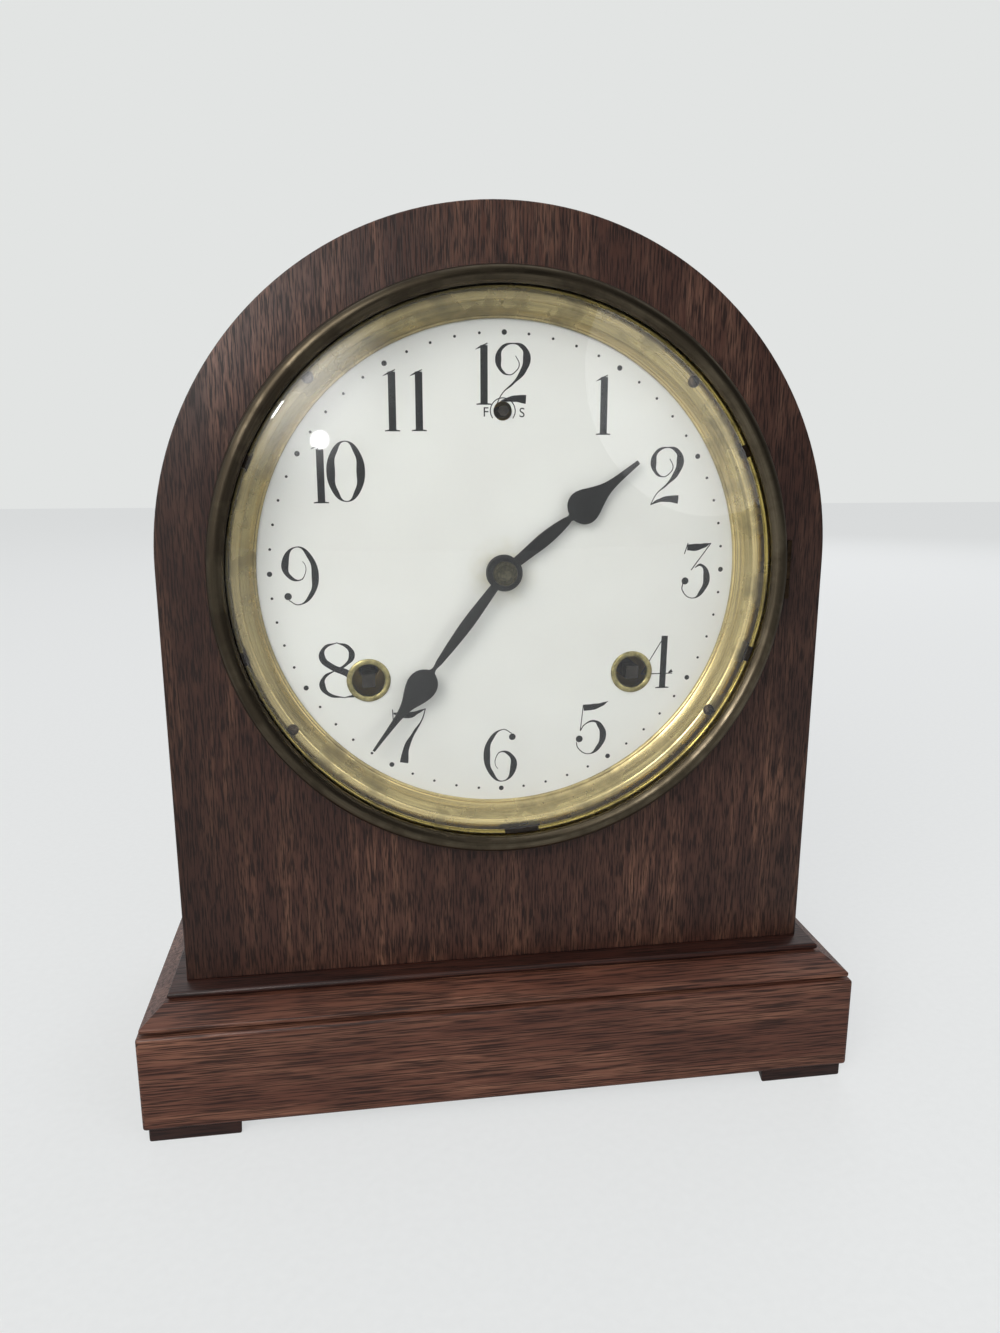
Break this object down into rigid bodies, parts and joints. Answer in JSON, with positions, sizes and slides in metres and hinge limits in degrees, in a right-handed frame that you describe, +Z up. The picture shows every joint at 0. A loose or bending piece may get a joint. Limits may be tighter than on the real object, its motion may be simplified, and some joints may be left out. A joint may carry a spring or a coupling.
{
  "type": "beehive shelf clock",
  "caption": "Arched wooden shelf clock with a hinged brass bezel over a round white dial, and a striking movement behind it.",
  "frame": {"origin": "on the floor under the middle of the base", "axes": "+Z up, -Y out of the dial, +X to the right seen from the front"},
  "size_m": [0.234, 0.128, 0.2825],
  "materials": {
    "front_veneer": "satin mahogany veneer, upright grain",
    "case_veneer": "satin mahogany veneer on the bent band",
    "base_wood": "satin mahogany, level grain",
    "back_wood": "plain stained board",
    "aged_brass": "aged brass gone brown and grey",
    "pale_brass": "brushed brass, lightly aged",
    "movement_brass": "satin rolled brass",
    "dial_paint": "off white satin enamel paint",
    "hand_paint": "charcoal paint",
    "hand_nut_metal": "darkened brass",
    "steel": "drawn steel",
    "blued_spring": "tempered spring steel",
    "screw_metal": "aged steel screws",
    "clear_glass": "clear convex glass",
    "iron": "black painted iron"
  },
  "bodies": {
    "case": {"front_panel": "front_veneer", "case_band": "case_veneer", "back_panel": "back_wood", "base_moulding": "base_wood", "plinth_frame": "base_wood", "base_board": "back_wood", "feet": "base_wood", "bezel_hinge_plate": "aged_brass", "dial_plate": "dial_paint", "dial_surround": "pale_brass", "surround_screws": "screw_metal", "winding_grommets": "pale_brass", "front_plate": "movement_brass", "back_plate": "movement_brass", "pillars": "steel", "pillar_nuts": "steel", "mounting_legs": "steel", "time_mainspring": "blued_spring", "strike_mainspring": "blued_spring", "suspension_cock": "movement_brass", "gong_coil": "blued_spring", "gong_stand": "iron", "panel_hinge_leaves": "pale_brass", "button_screw": "screw_metal"},
    "bezel": {"bezel_ring": "aged_brass", "bezel_glass": "clear_glass", "glass_sash": "pale_brass", "bezel_leaf": "aged_brass", "bezel_catch": "aged_brass"},
    "door": {"back_door": "back_wood", "door_hinge_leaves": "pale_brass", "door_knob": "pale_brass"},
    "button": {"turn_button": "pale_brass"},
    "centre": {"centre_arbor": "movement_brass", "minute_hand": "hand_paint", "hand_nut": "hand_nut_metal"},
    "hour": {"hour_wheel": "movement_brass", "hour_hand": "hand_paint"},
    "minute": {"minute_wheel": "movement_brass"},
    "time_main": {"time_main_wheel": "movement_brass", "time_click": "steel"},
    "time_winding": {"time_winding_arbor": "steel"},
    "time_second": {"time_second_arbor": "movement_brass"},
    "third": {"third_arbor": "movement_brass"},
    "escape": {"escape_arbor": "movement_brass"},
    "verge_body": {"verge": "steel"},
    "pendulum": {"pendulum_rod": "steel", "pendulum_bob": "movement_brass", "rating_nut": "movement_brass"},
    "regulator": {"regulator_arbor": "steel"},
    "strike_main": {"strike_main_wheel": "movement_brass", "strike_click": "steel"},
    "strike_winding": {"strike_winding_arbor": "steel"},
    "strike_second": {"strike_second_arbor": "movement_brass"},
    "strike_third": {"strike_third_arbor": "movement_brass"},
    "fly_body": {"fly": "movement_brass"},
    "hammer_body": {"hammer": "steel"}
  },
  "joints": [
    {"name": "bezel_hinge", "type": "hinge", "parent": "case", "child": "bezel", "pos_m": [0.0912, -0.0476, 0.1755], "axis": [0, 0, 1], "range_deg": [0, 100]},
    {"name": "back_door_hinge", "type": "hinge", "parent": "case", "child": "door", "pos_m": [0.06525, 0.0597, 0.1755], "axis": [0, 0, -1], "range_deg": [0, 120]},
    {"name": "turn_button_pivot", "type": "hinge", "parent": "case", "child": "button", "pos_m": [-0.0688, -0.046, 0.149], "axis": [0, 1, 0], "range_deg": [0, 90]},
    {"name": "centre_spin", "type": "hinge", "parent": "case", "child": "centre", "pos_m": [0, -0.046, 0.1755], "axis": [0, 1, 0], "continuous": true},
    {"name": "hour_spin", "type": "hinge", "parent": "case", "child": "hour", "pos_m": [0, -0.046, 0.1755], "axis": [0, 1, 0], "continuous": true},
    {"name": "minute_wheel_spin", "type": "hinge", "parent": "case", "child": "minute", "pos_m": [0, -0.046, 0.1579], "axis": [0, 1, 0], "continuous": true},
    {"name": "time_main_spin", "type": "hinge", "parent": "case", "child": "time_main", "pos_m": [0.0427, -0.046, 0.1419], "axis": [0, 1, 0], "continuous": true},
    {"name": "time_second_spin", "type": "hinge", "parent": "case", "child": "time_second", "pos_m": [0.024, -0.046, 0.17544], "axis": [0, 1, 0], "continuous": true},
    {"name": "third_spin", "type": "hinge", "parent": "case", "child": "third", "pos_m": [-0.01687, -0.046, 0.19172], "axis": [0, 1, 0], "continuous": true},
    {"name": "escape_spin", "type": "hinge", "parent": "case", "child": "escape", "pos_m": [0, -0.046, 0.2015], "axis": [0, 1, 0], "continuous": true},
    {"name": "time_winding_turn", "type": "hinge", "parent": "case", "child": "time_winding", "pos_m": [0.0427, -0.046, 0.1419], "axis": [0, 1, 0], "continuous": true},
    {"name": "pendulum_swing", "type": "hinge", "parent": "case", "child": "pendulum", "pos_m": [0, -0.046, 0.218], "axis": [0, 1, 0], "range_deg": [-3, 3]},
    {"name": "verge_swing", "type": "hinge", "parent": "case", "child": "verge_body", "pos_m": [0, -0.046, 0.218], "axis": [0, 1, 0], "range_deg": [-3, 3]},
    {"name": "regulator_turn", "type": "hinge", "parent": "case", "child": "regulator", "pos_m": [0, -0.046, 0.2243], "axis": [0, 1, 0], "continuous": true},
    {"name": "strike_second_spin", "type": "hinge", "parent": "case", "child": "strike_second", "pos_m": [-0.0468, -0.046, 0.17525], "axis": [0, 1, 0], "continuous": true},
    {"name": "strike_main_spin", "type": "hinge", "parent": "case", "child": "strike_main", "pos_m": [-0.0427, -0.046, 0.1419], "axis": [0, 1, 0], "continuous": true},
    {"name": "strike_third_spin", "type": "hinge", "parent": "case", "child": "strike_third", "pos_m": [-0.04507, -0.046, 0.19497], "axis": [0, 1, 0], "continuous": true},
    {"name": "fly_spin", "type": "hinge", "parent": "case", "child": "fly_body", "pos_m": [-0.03787, -0.046, 0.20744], "axis": [0, 1, 0], "continuous": true},
    {"name": "strike_winding_turn", "type": "hinge", "parent": "case", "child": "strike_winding", "pos_m": [-0.0427, -0.046, 0.1419], "axis": [0, 1, 0], "continuous": true},
    {"name": "hammer_swing", "type": "hinge", "parent": "case", "child": "hammer_body", "pos_m": [-0.026, -0.046, 0.1095], "axis": [0, 1, 0], "range_deg": [0, 20]}
  ],
  "couplings": [
    {"joint": "centre_spin", "follows": "third_spin", "ratio": -0.083333},
    {"joint": "hour_spin", "follows": "third_spin", "ratio": -0.0069444},
    {"joint": "minute_wheel_spin", "follows": "third_spin", "ratio": 0.027778},
    {"joint": "time_second_spin", "follows": "third_spin", "ratio": 0.020833},
    {"joint": "time_main_spin", "follows": "third_spin", "ratio": -0.0029762},
    {"joint": "escape_spin", "follows": "third_spin", "ratio": -12},
    {"joint": "verge_swing", "follows": "pendulum_swing", "ratio": 1},
    {"joint": "strike_main_spin", "follows": "strike_second_spin", "ratio": -0.16667},
    {"joint": "strike_third_spin", "follows": "strike_second_spin", "ratio": -5},
    {"joint": "fly_spin", "follows": "strike_second_spin", "ratio": 25}
  ]
}
